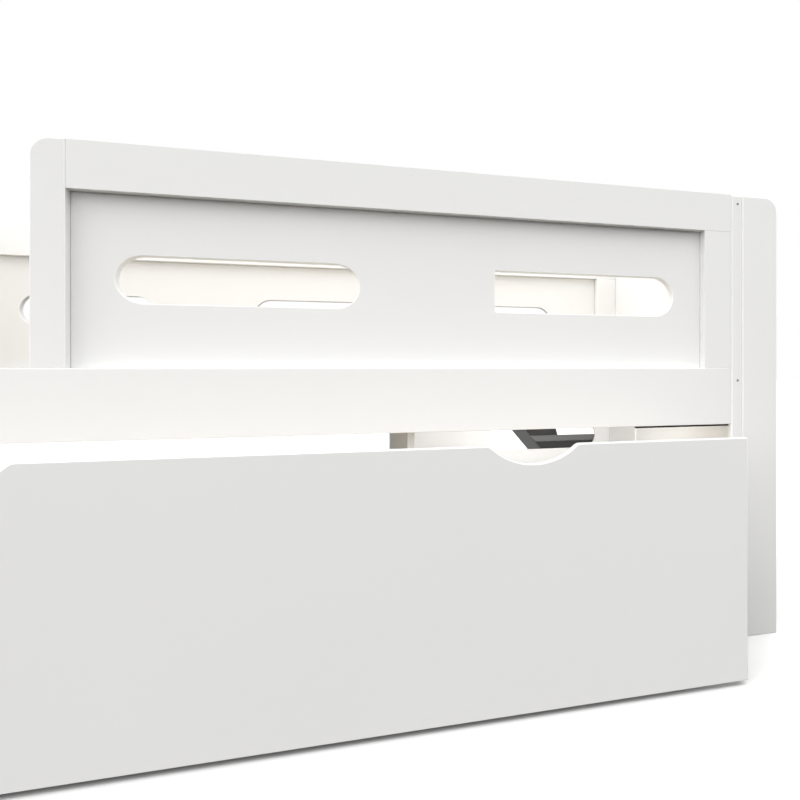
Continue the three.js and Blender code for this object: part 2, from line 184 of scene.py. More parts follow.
def makeWoodGrain():
    # straight softwood grain: growth rings stretched along the board, pores and a few knots
    group, given, out = newGroup("woodGrain", [
        ("Vector", "NodeSocketVector", None),
        ("Ring Scale", "NodeSocketFloat", 26.0),
        ("Stretch", "NodeSocketFloat", 0.06),
        ("Knots", "NodeSocketFloat", 1.0),
    ], [("Rings", "NodeSocketFloat"), ("Pores", "NodeSocketFloat"), ("Knot", "NodeSocketFloat")])
    stretch = addNode(group, "ShaderNodeCombineXYZ", X=given.outputs["Stretch"], Y=1.0, Z=1.0)
    along = addNode(group, "ShaderNodeVectorMath", operation="MULTIPLY")
    join(group, given.outputs["Vector"], along.inputs[0])
    join(group, stretch.outputs[0], along.inputs[1])
    # knots bend the rings round them
    knotCells = addNode(group, "ShaderNodeTexVoronoi", feature="F1", Scale=3.4, Randomness=1.0)
    knotPlace = addNode(group, "ShaderNodeVectorMath", operation="MULTIPLY")
    knotPlace.inputs[1].default_value = (0.55, 2.6, 1.0)
    join(group, given.outputs["Vector"], knotPlace.inputs[0])
    join(group, knotPlace.outputs[0], knotCells.inputs["Vector"])
    near = mathNode(group, "SUBTRACT", 1.0, mathNode(group, "MULTIPLY", knotCells.outputs["Distance"], 9.0),
                    clamp=True)
    near = mathNode(group, "MULTIPLY", near, given.outputs["Knots"])
    bend = addNode(group, "ShaderNodeTexNoise", Vector=along.outputs[0], Scale=5.0, Detail=2.0)
    separate = addNode(group, "ShaderNodeSeparateXYZ", Vector=along.outputs[0])
    bent = mathNode(group, "MULTIPLY", bend.outputs["Fac"], 0.14)
    across = mathNode(group, "ADD", separate.outputs["Y"], bent)
    across = mathNode(group, "ADD", across, mathNode(group, "MULTIPLY", separate.outputs["Z"], 0.7))
    across = mathNode(group, "ADD", across, mathNode(group, "MULTIPLY", near, 0.05))
    wave = mathNode(group, "SINE", mathNode(group, "MULTIPLY", across,
                                            mathNode(group, "MULTIPLY", given.outputs["Ring Scale"], 12.0)))
    rings = mathNode(group, "POWER", mathNode(group, "MULTIPLY_ADD", wave, 0.5, 0.5), 1.8)
    pores = addNode(group, "ShaderNodeTexNoise", Scale=700.0, Detail=2.0, Roughness=0.7)
    fine = addNode(group, "ShaderNodeVectorMath", operation="MULTIPLY")
    fine.inputs[1].default_value = (0.35, 1.0, 1.0)
    join(group, along.outputs[0], fine.inputs[0])
    join(group, fine.outputs[0], pores.inputs["Vector"])
    join(group, rings, out.inputs["Rings"])
    join(group, pores.outputs["Fac"], out.inputs["Pores"])
    join(group, mathNode(group, "POWER", near, 2.5), out.inputs["Knot"])
    return group


orangePeel = makeOrangePeel()
edgeWear = makeEdgeWear()
woodGrain = makeWoodGrain()


def placeGroup(tree, group, **values):
    node = addNode(tree, "ShaderNodeGroup")
    node.node_tree = group
    for label, value in values.items():
        give(tree, node.inputs[label.replace("_", " ")], value)
    return node


def newMaterial(name, roughness, metallic=0.0, coat=0.0, coatRoughness=0.1, ior=1.5):
    material = bpy.data.materials.new(name)
    material.use_nodes = True
    tree = material.node_tree
    tree.nodes.clear()
    shader = addNode(tree, "ShaderNodeBsdfPrincipled", Roughness=roughness, Metallic=metallic, IOR=ior)
    shader.inputs["Coat Weight"].default_value = coat
    shader.inputs["Coat Roughness"].default_value = coatRoughness
    out = addNode(tree, "ShaderNodeOutputMaterial")
    join(tree, shader.outputs[0], out.inputs["Surface"])
    return material, tree, shader


def bumpInto(tree, shader, height, strength, distance):
    bump = addNode(tree, "ShaderNodeBump", Strength=strength, Distance=distance, Height=height)
    join(tree, bump.outputs[0], shader.inputs["Normal"])


lacquer = {
    "colour": (0.868, 0.866, 0.858, 1),
    "cloudColour": (0.842, 0.841, 0.835, 1),
    "edgeHighlightColour": (0.97, 0.97, 0.965, 1),   # painted highlight on the rounded edges
    "wornColour": (0.74, 0.72, 0.67, 1),
    "roughness": (0.30, 0.42),
    "wear": 0.35,
}


def makeLacquer():
    material, tree, shader = newMaterial("satinWhiteLacquer", 0.36, coat=0.12, coatRoughness=0.22)
    place = addNode(tree, "ShaderNodeTexCoord").outputs["Object"]
    edge = addNode(tree, "ShaderNodeAttribute", attribute_name="roundedEdge").outputs["Fac"]
    peel = placeGroup(tree, orangePeel, Vector=place)
    wear = placeGroup(tree, edgeWear, Vector=place, Edge=edge, Amount=lacquer["wear"])
    painted = mixColour(tree, peel.outputs["Cloud"], lacquer["colour"], lacquer["cloudColour"])
    # the rounded edges are painted lighter, a painted highlight
    painted = mixColour(tree, edge, painted, lacquer["edgeHighlightColour"])
    faded = mathNode(tree, "MULTIPLY", wear.outputs["Mask"], 0.45)
    join(tree, mixColour(tree, faded, painted, lacquer["wornColour"]), shader.inputs["Base Color"])
    low, high = lacquer["roughness"]
    gloss = mathNode(tree, "MULTIPLY_ADD", peel.outputs["Cloud"], high - low, low)
    wornGloss = mathNode(tree, "MULTIPLY", faded, 0.3)
    join(tree, mathNode(tree, "ADD", gloss, wornGloss), shader.inputs["Roughness"])
    bumpInto(tree, shader, peel.outputs["Height"], 0.05, 0.0004)
    return material


pine = {
    "pale": (0.87, 0.81, 0.70, 1),
    "dark": (0.77, 0.66, 0.50, 1),
    "knot": (0.33, 0.18, 0.08, 1),
    "ringScale": 34.0,
    "knots": 1.0,
}


def makePine(name, kind):
    material, tree, shader = newMaterial(name, 0.55)
    coords = addNode(tree, "ShaderNodeAttribute", attribute_name="boardCoord").outputs["Vector"]
    seed = addNode(tree, "ShaderNodeAttribute", attribute_name="boardSeed").outputs["Fac"]
    apart = addNode(tree, "ShaderNodeCombineXYZ", X=mathNode(tree, "MULTIPLY", seed, 7.3),
                    Z=mathNode(tree, "MULTIPLY", seed, 3.1))
    moved = addNode(tree, "ShaderNodeVectorMath", operation="ADD")
    join(tree, coords, moved.inputs[0])
    join(tree, apart.outputs[0], moved.inputs[1])
    grain = placeGroup(tree, woodGrain, Vector=moved.outputs[0], Ring_Scale=kind["ringScale"],
                       Knots=kind["knots"])
    tone = mathNode(tree, "MULTIPLY_ADD", grain.outputs["Rings"], 0.55,
                    mathNode(tree, "MULTIPLY", grain.outputs["Pores"], 0.28), clamp=True)
    wood = mixColour(tree, tone, kind["pale"], kind["dark"])
    wood = mixColour(tree, grain.outputs["Knot"], wood, kind["knot"])
    shade = mathNode(tree, "MULTIPLY_ADD", seed, 0.22, 0.86)
    tint = addNode(tree, "ShaderNodeCombineColor")
    for channel in tint.inputs:
        join(tree, shade, channel)
    join(tree, mixColour(tree, 1.0, wood, tint.outputs[0], blend="MULTIPLY"), shader.inputs["Base Color"])
    join(tree, mathNode(tree, "MULTIPLY_ADD", grain.outputs["Pores"], 0.25, 0.44), shader.inputs["Roughness"])
    ringHeight = mathNode(tree, "MULTIPLY", grain.outputs["Rings"], 0.4)
    height = mathNode(tree, "ADD", ringHeight, grain.outputs["Pores"])
    bumpInto(tree, shader, height, 0.25, 0.0003)
    return material


birch = {
    "pale": (0.85, 0.76, 0.61, 1),
    "dark": (0.75, 0.63, 0.46, 1),
    "knot": (0.5, 0.36, 0.22, 1),
    "ringScale": 9.0,
    "knots": 0.25,
}


steel = {
    "powderColour": (0.125, 0.127, 0.130, 1),
    "powderLight": (0.170, 0.172, 0.176, 1),
    "strutPaintedShade": 0.65,      # painted shade: the strut's and the plates' coat as a share of the other steel's colour
    "platePaintedShade": 0.25,
    "bareColour": (0.42, 0.43, 0.44, 1),
    "zincColour": (0.60, 0.61, 0.63, 1),
    "zincShade": (0.45, 0.47, 0.50, 1),
}


def shaded(colour, share):
    return (*[channel * share for channel in colour[:3]], 1)


def makePowderCoat(name, shade=1.0):
    material, tree, shader = newMaterial(name, 0.5)
    place = addNode(tree, "ShaderNodeTexCoord").outputs["Object"]
    edge = addNode(tree, "ShaderNodeAttribute", attribute_name="roundedEdge").outputs["Fac"]
    peel = placeGroup(tree, orangePeel, Vector=place, Ripple_Scale=1400.0, Nib_Scale=3000.0)
    wear = placeGroup(tree, edgeWear, Vector=place, Edge=edge, Amount=0.6, Scale=60.0)
    # a share below 1 darkens the coat, painted shade
    coat = mixColour(tree, peel.outputs["Cloud"], shaded(steel["powderColour"], shade),
                     shaded(steel["powderLight"], shade))
    join(tree, mixColour(tree, wear.outputs["Mask"], coat, steel["bareColour"]), shader.inputs["Base Color"])
    join(tree, wear.outputs["Mask"], shader.inputs["Metallic"])
    join(tree, mathNode(tree, "MULTIPLY_ADD", peel.outputs["Cloud"], 0.2, 0.4), shader.inputs["Roughness"])
    bumpInto(tree, shader, peel.outputs["Height"], 0.3, 0.0002)
    return material


def makeZinc():
    material, tree, shader = newMaterial("brightZinc", 0.3, metallic=1.0)
    place = addNode(tree, "ShaderNodeTexCoord").outputs["Object"]
    crystals = addNode(tree, "ShaderNodeTexVoronoi", Vector=place, Scale=420.0)
    cloud = addNode(tree, "ShaderNodeTexNoise", Vector=place, Scale=60.0, Detail=4.0)
    blend = mathNode(tree, "MULTIPLY_ADD", crystals.outputs["Color"], 0.35,
                     mathNode(tree, "MULTIPLY", cloud.outputs["Fac"], 0.6), clamp=True)
    join(tree, mixColour(tree, blend, steel["zincColour"], steel["zincShade"]), shader.inputs["Base Color"])
    join(tree, mathNode(tree, "MULTIPLY_ADD", cloud.outputs["Fac"], 0.25, 0.2), shader.inputs["Roughness"])
    bumpInto(tree, shader, cloud.outputs["Fac"], 0.08, 0.0002)
    return material


def makeMoulded(name, colour, lighter, roughness, grainScale):
    # moulded plastic or rubber with a fine spark-eroded grain and a little scuffing
    material, tree, shader = newMaterial(name, roughness)
    place = addNode(tree, "ShaderNodeTexCoord").outputs["Object"]
    grain = addNode(tree, "ShaderNodeTexNoise", Vector=place, Scale=grainScale, Detail=2.0)
    scuff = addNode(tree, "ShaderNodeTexNoise", Vector=place, Scale=90.0, Detail=6.0, Roughness=0.7)
    aboveHalf = mathNode(tree, "SUBTRACT", scuff.outputs["Fac"], 0.5)
    scuffed = mathNode(tree, "MULTIPLY", aboveHalf, 3.0, clamp=True)
    join(tree, mixColour(tree, scuffed, colour, lighter), shader.inputs["Base Color"])
    join(tree, mathNode(tree, "MULTIPLY_ADD", scuffed, 0.2, roughness), shader.inputs["Roughness"])
    bumpInto(tree, shader, grain.outputs["Fac"], 0.2, 0.0002)
    return material


whiteLacquer = makeLacquer()
barePine = makePine("barePine", pine)
birchPly = makePine("birchPlywood", birch)
darkSteel = makePowderCoat("darkPowderCoat")
# darker copies of the powder coat for the strut and the plates: painted shade
strutSteelPaintedShade = makePowderCoat("strutPowderCoatPaintedShade", steel["strutPaintedShade"])
plateSteelPaintedShade = makePowderCoat("platePowderCoatPaintedShade", steel["platePaintedShade"])
brightZinc = makeZinc()
hubPlastic = makeMoulded("greyHubPlastic", (0.11, 0.115, 0.12, 1), (0.17, 0.175, 0.18, 1), 0.45, 900.0)
treadRubber = makeMoulded("treadRubber", (0.035, 0.036, 0.038, 1), (0.10, 0.10, 0.10, 1), 0.62, 1500.0)
print("materials ready")


board = {
    "edgeRadius": 1.3 * mm,
    "postRadius": 2.2 * mm,
    "stripRadius": 3 * mm,
    "closeRadius": 0.2 * mm,      # boards whose joint hardly shows
    "edgeSteps": 3,
    "sheetRadius": 0.5 * mm,
    "barRadius": 0.9 * mm,
    "arcSteps": 40,
    "nudge": Random(11),
}


def markRoundedEdges(mesh, faces):
    # face attribute that the materials read for wear along the edges, and for the lacquer's painted highlight
    # there
    values = mesh.attributes.new("roundedEdge", "FLOAT", "FACE")
    for index in faces:
        values.data[index].value = 1.0


def stampBoardCoords(mesh):
    # coordinates along, across and through the board, so that grain follows its length
    points = [vertex.co for vertex in mesh.vertices]
    low = Vector([min(p[i] for p in points) for i in range(3)])
    high = Vector([max(p[i] for p in points) for i in range(3)])
    size, middle = high - low, (low + high) / 2
    order = sorted(range(3), key=lambda i: -size[i])
    shift = board["nudge"].uniform(0, 9)
    coords = mesh.attributes.new("boardCoord", "FLOAT_VECTOR", "POINT")
    for vertex in mesh.vertices:
        p = vertex.co - middle
        coords.data[vertex.index].vector = (p[order[0]] + shift, p[order[1]], p[order[2]])
    seed = mesh.attributes.new("boardSeed", "FLOAT", "POINT")
    value = board["nudge"].random()
    for vertex in mesh.vertices:
        seed.data[vertex.index].value = value


def roundedCopy(node, name, radius=None, steps=None, coords=False):
    # a CAD solid's own shape, merged, with every arris rounded
    bm = bmesh.new()
    bm.from_mesh(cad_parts[node].data)
    bmesh.ops.remove_doubles(bm, verts=bm.verts, dist=0.01 * mm)
    bmesh.ops.dissolve_limit(bm, angle_limit=math.radians(0.8), verts=bm.verts, edges=bm.edges)
    bmesh.ops.recalc_face_normals(bm, faces=bm.faces)
    edges = [e for e in bm.edges if e.is_manifold and e.calc_face_angle(0) > math.radians(35)]
    made = bmesh.ops.bevel(bm, geom=edges, offset=radius or board["edgeRadius"], offset_type="OFFSET",
                           segments=steps or board["edgeSteps"], profile=0.5, affect="EDGES",
                           clamp_overlap=True)
    bm.faces.index_update()
    rounded = [face.index for face in made["faces"]]
    mesh = meshOf(bm, name)
    markRoundedEdges(mesh, rounded)
    if coords:
        stampBoardCoords(mesh)
    return finishShading(linkObject(name, mesh))


def arc(x, z, radius, start, end):
    # points from one angle to another, in degrees
    steps = max(3, round(board["arcSteps"] * abs(end - start) / 180))
    turns = [math.radians(start + (end - start) * i / steps) for i in range(steps + 1)]
    return [(x + radius * math.cos(t), z + radius * math.sin(t)) for t in turns]


def outlineBoard(name, outline, holes, y0, y1, radius=None):
    # an upright board cut to an outline, with round-edged holes; the outline lies in X and Z
    radius = radius or board["edgeRadius"]
    curve = bpy.data.curves.new(name, "CURVE")
    curve.dimensions = "2D"
    curve.fill_mode = "BOTH"
    curve.bevel_depth = radius
    curve.bevel_resolution = 2
    curve.offset = -radius
    curve.extrude = (y1 - y0) / 2 - radius
    for points in [outline, *holes]:
        spline = curve.splines.new("POLY")
        spline.points.add(len(points) - 1)
        for place, (x, z) in zip(spline.points, points):
            place.co = (x, z, 0, 1)
        spline.use_cyclic_u = True
    drawn = linkObject(name + "Drawing", curve)
    mesh = evaluatedMesh(drawn)
    bpy.data.objects.remove(drawn)
    mesh.transform(Matrix.Translation((0, (y0 + y1) / 2, 0)) @ Matrix.Rotation(math.pi / 2, 4, "X"))
    bm = bmesh.new()
    bm.from_mesh(mesh)
    bmesh.ops.remove_doubles(bm, verts=bm.verts, dist=0.005 * mm)
    bmesh.ops.recalc_face_normals(bm, faces=bm.faces)
    for layer in list(bm.loops.layers.uv):
        bm.loops.layers.uv.remove(layer)
    bm.normal_update()
    bm.faces.index_update()
    rounded = [face.index for face in bm.faces if 0.1 < abs(face.normal.y) < 0.97]
    mesh = meshOf(bm, name)
    markRoundedEdges(mesh, rounded)
    return finishShading(linkObject(name, mesh))


def rectangle(x0, x1, z0, z1):
    return [(x0, z0), (x1, z0), (x1, z1), (x0, z1)]


def roundedUpright(x0, x1, z0, z1, side, radius):
    # rectangle with one rounded top corner, at the right for side 1 and at the left for side -1
    if side > 0:
        return [(x0, z0), (x1, z0), *arc(x1 - radius, z1 - radius, radius, 0, 90), (x0, z1)]
    return [(x0, z0), (x1, z0), (x1, z1), *arc(x0 + radius, z1 - radius, radius, 90, 180)]


def slotHole(x0, x1, z, height, startRadius=None):
    # round at both ends, or with small rounded corners at its start
    r = height / 2
    far = arc(x1 - r, z, r, -90, 90)
    if startRadius is None:
        return [*far, *arc(x0 + r, z, r, 90, 270)]
    x = x0 + startRadius
    rise = r - startRadius
    return [*far, *arc(x, z + rise, startRadius, 90, 180), *arc(x, z - rise, startRadius, 180, 270)]


frameBoards = {
    "cornerRadius": 26 * mm,
    "slotHeight": 74 * mm,
    "slotRise": 136.5 * mm,      # slot centres above the side rail's top
    "frontSlot": 347 * mm,
    "frontMargin": 56.5 * mm,
    "squareInset": 8.4 * mm,     # the right slot's square end stands this far in
    "squareRadius": 4 * mm,
    "backSlot": 269 * mm,
    "backMargin": 131.5 * mm,
    "holeLength": 309 * mm,
    "holeMargin": 47 * mm,       # from the right post's inner face
    "holeHeight": 331.5 * mm,
}
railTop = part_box("side_rail_front")[1].z
slotZ = railTop + frameBoards["slotRise"]


def addOutlined(node, body, outline, holes=(), radius=None):
    low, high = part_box(node)
    piece = outlineBoard(node + "_board", outline, holes, low.y, high.y, radius)
    return putOn(piece, body, "white_lacquer", whiteLacquer, node)


def addCopied(node, body, slot="white_lacquer", material=None, radius=None, steps=None, coords=False,
              ending="_board"):
    piece = roundedCopy(node, node + ending, radius, steps, coords)
    return putOn(piece, body, slot, material or whiteLacquer, node)


def addFrameBoards():
    radius = frameBoards["cornerRadius"]
    for name, side in (("left", -1), ("right", 1)):
        for node in (f"post_front_{name}", f"post_rear_{name}", f"end_top_rail_{name}"):
            low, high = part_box(node)
            addOutlined(node, "bed_frame", roundedUpright(low.x, high.x, low.z, high.z, side, radius),
                        radius=board["postRadius"])
        for node in (f"end_bottom_rail_{name}", f"end_panel_{name}", f"back_stile_{name}"):
            addCopied(node, "bed_frame")
        addCopied(f"cover_strip_{name}", "bed_frame", radius=board["stripRadius"])
    low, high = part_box("guard_post_left")
    addOutlined("guard_post_left", "bed_frame", roundedUpright(low.x, high.x, low.z, high.z, -1, radius))
    for node in ("side_rail_front", "side_rail_rear", "back_top_rail", "divider_panel", "corner_board"):
        addCopied(node, "bed_frame")
    for node in ("guard_top_rail", "guard_stile_right"):
        addCopied(node, "bed_frame", radius=board["closeRadius"])


def addSlottedPanels():
    height = frameBoards["slotHeight"]
    low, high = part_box("guard_panel")
    length, margin = frameBoards["frontSlot"], frameBoards["frontMargin"]
    inset = frameBoards["squareInset"]
    rightStart = high.x - margin - length + inset
    holes = [slotHole(low.x + margin, low.x + margin + length, slotZ, height),
             slotHole(rightStart, high.x - margin, slotZ, height, frameBoards["squareRadius"])]
    addOutlined("guard_panel", "bed_frame", rectangle(low.x, high.x, low.z, high.z), holes)

    low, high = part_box("back_panel")
    length, margin = frameBoards["backSlot"], frameBoards["backMargin"]
    starts = [low.x + margin, -length / 2, high.x - margin - length]
    holes = [slotHole(x, x + length, slotZ, height) for x in starts]
    addOutlined("back_panel", "bed_frame", rectangle(low.x, high.x, low.z, high.z), holes)

    low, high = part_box("rear_panel")
    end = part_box("post_rear_right")[0].x - frameBoards["holeMargin"]
    hole = slotHole(end - frameBoards["holeLength"], end, frameBoards["holeHeight"], height)
    addOutlined("rear_panel", "bed_frame", rectangle(low.x, high.x, low.z, high.z), [hole])


addFrameBoards()
addSlottedPanels()
print("bed boards ready")

trundleFront = {
    "scoopFromEnd": 356.5 * mm,
    "scoopWidth": 146 * mm,
    "scoopDepth": 29 * mm,
    "shoulder": 14 * mm,
}


def scoopOutline(x, top):
    # right to left: shoulder, wide arc, shoulder
    half = trundleFront["scoopWidth"] / 2
    depth = trundleFront["scoopDepth"]
    shoulder = trundleFront["shoulder"]
    radius = (half ** 2 + depth ** 2) / (2 * depth) - shoulder
    rise = radius - depth
    angle = math.degrees(math.atan2(rise + shoulder, half))
    right = arc(x + half, top - shoulder, shoulder, 90, 180 - angle)
    middle = arc(x, top + rise, radius, -angle, angle - 180)
    left = arc(x - half, top - shoulder, shoulder, angle, 90)
    return [*right, *middle[1:-1], *left]


def addTrundleBoards():
    low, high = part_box("trundle_front")
    scoopX = high.x - trundleFront["scoopFromEnd"]
    outline = [(low.x, low.z), (high.x, low.z), (high.x, high.z),
               *scoopOutline(scoopX, high.z), *scoopOutline(-scoopX, high.z), (low.x, high.z)]
    addOutlined("trundle_front", "trundle", outline)
    for node in ("trundle_side_left", "trundle_side_right", "trundle_back"):
        addCopied(node, "trundle")
    addCopied("trundle_base", "trundle", "plywood", birchPly, 0.8 * mm, 2, True)


addTrundleBoards()
print("trundle boards ready")


def newGeometryTree(name, inputs):
    tree = bpy.data.node_groups.new(name, "GeometryNodeTree")
    tree.interface.new_socket("Geometry", in_out="INPUT", socket_type="NodeSocketGeometry")
    for label, kind in inputs:
        tree.interface.new_socket(label, in_out="INPUT", socket_type=kind)
    tree.interface.new_socket("Geometry", in_out="OUTPUT", socket_type="NodeSocketGeometry")
    return tree, addNode(tree, "NodeGroupInput"), addNode(tree, "NodeGroupOutput")


def finishTree(tree, given, out, instances):
    # every tree ends by making the copies real and giving them their material
    real = addNode(tree, "GeometryNodeRealizeInstances", Geometry=instances)
    dressed = addNode(tree, "GeometryNodeSetMaterial", Geometry=real.outputs[0],
                      Material=given.outputs["Material"])
    join(tree, dressed.outputs[0], out.inputs["Geometry"])


def makeRowTree():
    # copies of one piece in a straight row, each with a seed of its own
    tree, given, out = newGeometryTree("rowOfPieces", [
        ("Piece", "NodeSocketObject"), ("Count", "NodeSocketInt"), ("Start", "NodeSocketVector"),
        ("Step", "NodeSocketVector"), ("Seed", "NodeSocketInt"), ("Play", "NodeSocketVector"),
        ("Material", "NodeSocketMaterial")])
    line = addNode(tree, "GeometryNodeMeshLine", mode="OFFSET", Count=given.outputs["Count"],
                   Start_Location=given.outputs["Start"], Offset=given.outputs["Step"])
    piece = addNode(tree, "GeometryNodeObjectInfo", Object=given.outputs["Piece"])
    copies = addNode(tree, "GeometryNodeInstanceOnPoints", Points=line.outputs[0],
                     Instance=piece.outputs["Geometry"])
    minus = addNode(tree, "ShaderNodeVectorMath", operation="SCALE", Scale=-1.0)
    join(tree, given.outputs["Play"], minus.inputs[0])
    play = addNode(tree, "FunctionNodeRandomValue", data_type="FLOAT_VECTOR", Seed=given.outputs["Seed"])
    join(tree, minus.outputs[0], play.inputs[0])
    join(tree, given.outputs["Play"], play.inputs[1])
    shiftBy = addNode(tree, "GeometryNodeTranslateInstances", Instances=copies.outputs[0],
                      Translation=play.outputs[0])
    seed = addNode(tree, "FunctionNodeRandomValue", data_type="FLOAT", Seed=given.outputs["Seed"])
    store = addNode(tree, "GeometryNodeStoreNamedAttribute", data_type="FLOAT", domain="INSTANCE",
                    Geometry=shiftBy.outputs[0], Name="boardSeed", Value=seed.outputs[1])
    finishTree(tree, given, out, store.outputs[0])
    return tree


def makePointsTree():
    # one piece on each point of the carrier mesh, standing along its "facing" and turned by "spin"
    tree, given, out = newGeometryTree("piecesOnPoints", [
        ("Piece", "NodeSocketObject"), ("Size", "NodeSocketFloat"), ("Seed", "NodeSocketInt"),
        ("Material", "NodeSocketMaterial")])
    piece = addNode(tree, "GeometryNodeObjectInfo", Object=given.outputs["Piece"])
    facing = addNode(tree, "GeometryNodeInputNamedAttribute", data_type="FLOAT_VECTOR", Name="facing")
    align = addNode(tree, "FunctionNodeAlignRotationToVector", axis="Z", Vector=facing.outputs[0])
    spin = addNode(tree, "FunctionNodeRandomValue", data_type="FLOAT", Seed=given.outputs["Seed"])
    spin.inputs[3].default_value = math.tau
    turn = addNode(tree, "FunctionNodeAxisAngleToRotation", Angle=spin.outputs[1])
    both = addNode(tree, "FunctionNodeRotateRotation", rotation_space="LOCAL", Rotation=align.outputs[0],
                   Rotate_By=turn.outputs[0])
    copies = addNode(tree, "GeometryNodeInstanceOnPoints", Points=given.outputs["Geometry"],
                     Instance=piece.outputs["Geometry"], Rotation=both.outputs[0],
                     Scale=given.outputs["Size"])
    finishTree(tree, given, out, copies.outputs[0])
    return tree


def makeRingTree():
    # ribs set round an axle that lies along X
    tree, given, out = newGeometryTree("ribsRoundAxle", [
        ("Piece", "NodeSocketObject"), ("Count", "NodeSocketInt"), ("Centre", "NodeSocketVector"),
        ("Material", "NodeSocketMaterial")])
    points = addNode(tree, "GeometryNodePoints", Count=given.outputs["Count"],
                     Position=given.outputs["Centre"])
    index = addNode(tree, "GeometryNodeInputIndex").outputs[0]
    share = mathNode(tree, "DIVIDE", index, given.outputs["Count"])
    turn = addNode(tree, "ShaderNodeCombineXYZ", X=mathNode(tree, "MULTIPLY", share, math.tau))
    piece = addNode(tree, "GeometryNodeObjectInfo", Object=given.outputs["Piece"])
    copies = addNode(tree, "GeometryNodeInstanceOnPoints", Points=points.outputs[0],
                     Instance=piece.outputs["Geometry"], Rotation=turn.outputs[0])
    finishTree(tree, given, out, copies.outputs[0])
    return tree


rowTree = makeRowTree()
pointsTree = makePointsTree()
ringTree = makeRingTree()


def grow(name, tree, carrier, **values):
    # runs a tree on a carrier mesh and keeps the plain mesh it makes
    thing = linkObject(name, carrier or bpy.data.meshes.new(name))
    modifier = thing.modifiers.new("grow", "NODES")
    modifier.node_group = tree
    for item in tree.interface.items_tree:
        if item.item_type == "SOCKET" and item.in_out == "INPUT" and item.name in values:
            modifier[item.identifier] = values[item.name]
    applyModifiers(thing)
    return thing


def carrierOf(name, places):
    # places are (point, facing) pairs
    mesh = bpy.data.meshes.new(name)
    mesh.from_pydata([tuple(point) for point, _ in places], [], [])
    facing = mesh.attributes.new("facing", "FLOAT_VECTOR", "POINT")
    for index, (_, direction) in enumerate(places):
        facing.data[index].vector = direction
    return mesh


def ringMesh(name, levels, sides):
    # rings of points, one level after another, each level a function of angle giving radius and height
    bm = bmesh.new()
    rings = []
    for level in levels:
        if level[0] == "point":
            rings.append([bm.verts.new((0, 0, level[1]))])
            continue
        radiusAt, z = level
        ring = []
        for i in range(sides):
            t = math.tau * i / sides
            r = radiusAt(t) if callable(radiusAt) else radiusAt
            ring.append(bm.verts.new((r * math.cos(t), r * math.sin(t), z)))
        rings.append(ring)
    for lower, upper in zip(rings, rings[1:]):
        for i in range(sides):
            j = (i + 1) % sides
            if len(lower) == 1:
                bm.faces.new((lower[0], upper[j], upper[i]))
            elif len(upper) == 1:
                bm.faces.new((lower[i], lower[j], upper[0]))
            else:
                bm.faces.new((lower[i], lower[j], upper[j], upper[i]))
    bmesh.ops.recalc_face_normals(bm, faces=bm.faces)
    return meshOf(bm, name)


def crossRadius(length, width):
    # polar outline of a plus sign
    def radiusAt(t):
        c, s = abs(math.cos(t)) + 1e-9, abs(math.sin(t)) + 1e-9
        return max(min(length / c, width / s), min(width / c, length / s))
    return radiusAt


def hexRadius(across):
    def radiusAt(t):
        turn = (t + math.pi / 6) % (math.pi / 3) - math.pi / 6
        return across / 2 / math.cos(turn)
    return radiusAt


fixings = {
    "screwHead": 3.4 * mm,
    "screwRise": 0.5 * mm,
    "bigHead": 7.5 * mm,
    "bigRise": 1.2 * mm,
    "hexAcross": 5 * mm,
    "sides": 32,
    "bigSides": 36,
    "seed": 5,
}


def screwPrototype():
    r, h = fixings["screwHead"], fixings["screwRise"]
    cross = crossRadius(r * 0.55, r * 0.14)
    levels = [("point", -0.4 * h), (r, -0.4 * h), (r, h * 0.25), (r * 0.9, h * 0.85), (r * 0.72, h),
              (cross, h), (crossRadius(r * 0.4, r * 0.1), -0.1 * h), ("point", -0.2 * h)]
    thing = linkObject("screwPrototype", ringMesh("screwPrototype", levels, fixings["sides"]))
    return finishShading(thing, 38)


def boltPrototype():
    r, h = fixings["bigHead"], fixings["bigRise"]
    socket = hexRadius(fixings["hexAcross"])
    levels = [("point", -0.3 * h), (r, -0.3 * h), (r, h * 0.3), (r * 0.95, h * 0.75), (r * 0.84, h),
              (r * 0.5, h), (socket, h * 0.92), (socket, -0.15 * h), ("point", -0.15 * h)]
    thing = linkObject("boltPrototype", ringMesh("boltPrototype", levels, fixings["bigSides"]))
    return finishShading(thing, 38)


screwShape = screwPrototype()
boltShape = boltPrototype()


def addFixings(name, places, prototype, body, slot, material, scale=1.0):
    piece = grow(name, pointsTree, carrierOf(name, places), Piece=prototype, Size=scale,
                 Seed=fixings["seed"], Material=material)
    return putOn(piece, body, slot, material)


deck = {
    "edgeRadius": 2.2 * mm,
    "play": (0.4 * mm, 0.5 * mm, 0.0),
    "seed": 23,
    "screwInset": (22 * mm, 14 * mm),
}


